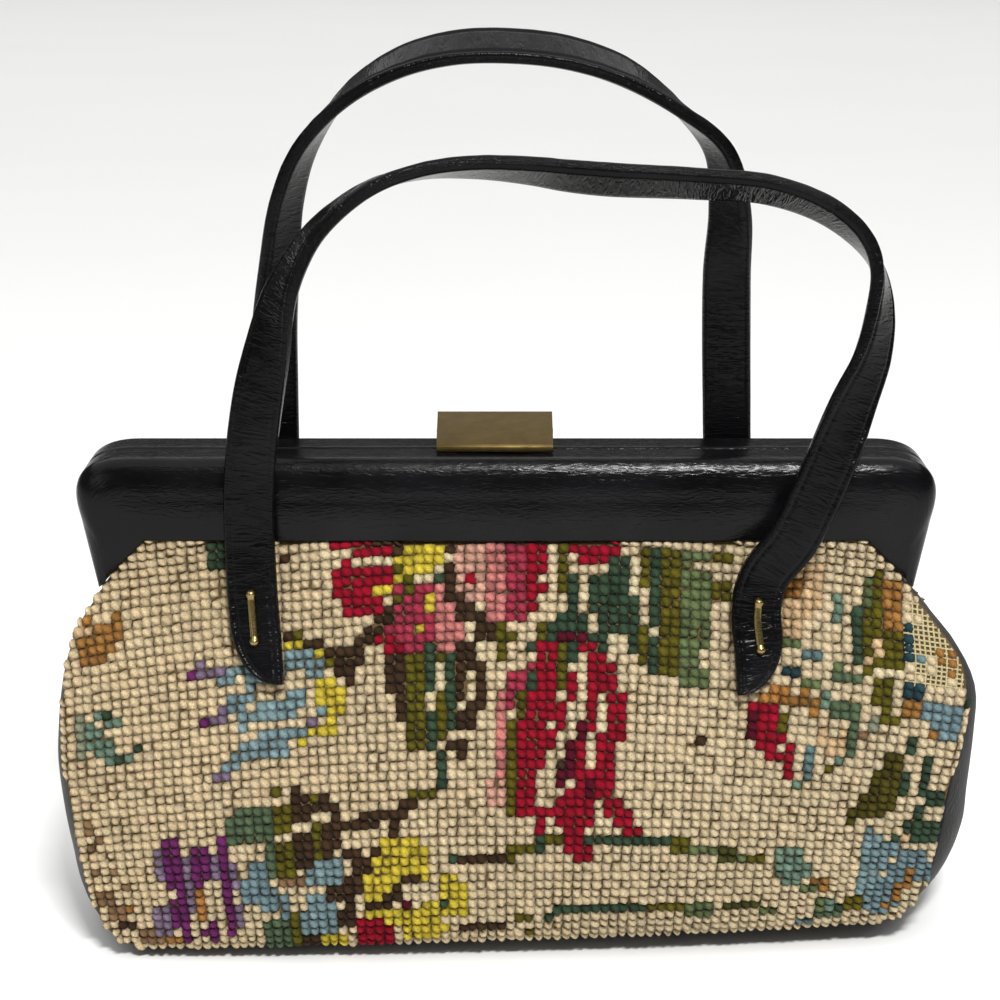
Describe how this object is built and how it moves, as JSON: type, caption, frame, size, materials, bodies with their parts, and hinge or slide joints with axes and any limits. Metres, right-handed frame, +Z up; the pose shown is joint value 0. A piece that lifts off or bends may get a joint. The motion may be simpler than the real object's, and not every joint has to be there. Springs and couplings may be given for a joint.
{
  "type": "needlepoint frame handbag",
  "caption": "Soft handbag with floral needlepoint panels, a leather gusset, a leather-covered snap frame, strap handles and a brass lift clasp.",
  "frame": {"origin": "middle of the bag's bounding box, on the surface it stands on", "axes": "+X the viewer's right, the needlepoint front faces -Y, +Z up"},
  "size_m": [0.3116, 0.0978, 0.2974],
  "materials": {
    "needlepoint_wool": "wool cross-stitch on canvas",
    "gusset_leather": "black calf, semi-gloss",
    "frame_leather": "black straight-grained calf, semi-gloss",
    "strap_leather": "black calf, creased, semi-gloss",
    "brass": "brushed, dulled gilt"
  },
  "bodies": {
    "bag": {"front_panel": "needlepoint_wool", "back_panel": "needlepoint_wool", "gusset": "gusset_leather", "frame_front": "frame_leather", "frame_back": "frame_leather", "frame_link_left": "brass", "frame_link_right": "brass", "handle_front": "strap_leather", "handle_back": "strap_leather", "staple_front_left": "brass", "staple_front_right": "brass", "staple_back_left": "brass", "staple_back_right": "brass", "clasp_base": "brass", "clasp_catch": "brass"},
    "clasp": {"clasp_lever": "brass"}
  },
  "joints": [
    {"name": "clasp_lift", "type": "hinge", "parent": "bag", "child": "clasp", "pos_m": [-0.00665, 0.0095, 0.1672], "axis": [-1, 0, 0], "range_deg": [0, 60]}
  ]
}
